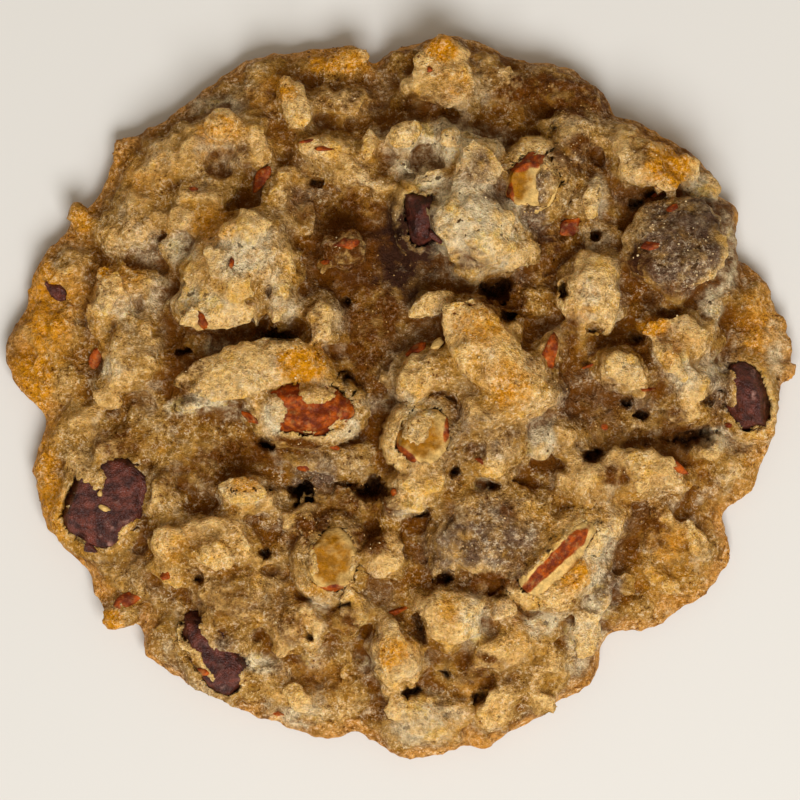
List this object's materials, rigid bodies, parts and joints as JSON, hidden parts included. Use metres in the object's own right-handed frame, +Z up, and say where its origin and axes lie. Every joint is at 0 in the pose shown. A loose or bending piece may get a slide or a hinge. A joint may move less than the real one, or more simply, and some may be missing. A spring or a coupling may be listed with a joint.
{
  "type": "chocolate chip cookie",
  "caption": "Thick round home-baked cookie of lumpy oat dough with dark chocolate chips and pecan pieces bedded in its top, flat underneath.",
  "frame": {"origin": "under the cookie's middle, on the surface that it lies on", "axes": "+Z up out of the lumpy top; +X to the picture's right, along the longest way across; +Y to the picture's top"},
  "size_m": [0.095, 0.0874, 0.0171],
  "materials": {
    "baked_dough": null,
    "dark_chocolate": null,
    "pecan": null
  },
  "bodies": {
    "root": {"dough": "baked_dough", "chocolate_chip_1": "dark_chocolate", "chocolate_chip_2": "dark_chocolate", "chocolate_chip_3": "dark_chocolate", "chocolate_chip_4": "dark_chocolate", "pecan_piece_1": "pecan", "pecan_piece_2": "pecan", "pecan_piece_3": "pecan", "pecan_piece_4": "pecan", "pecan_piece_5": "pecan"}
  },
  "joints": []
}
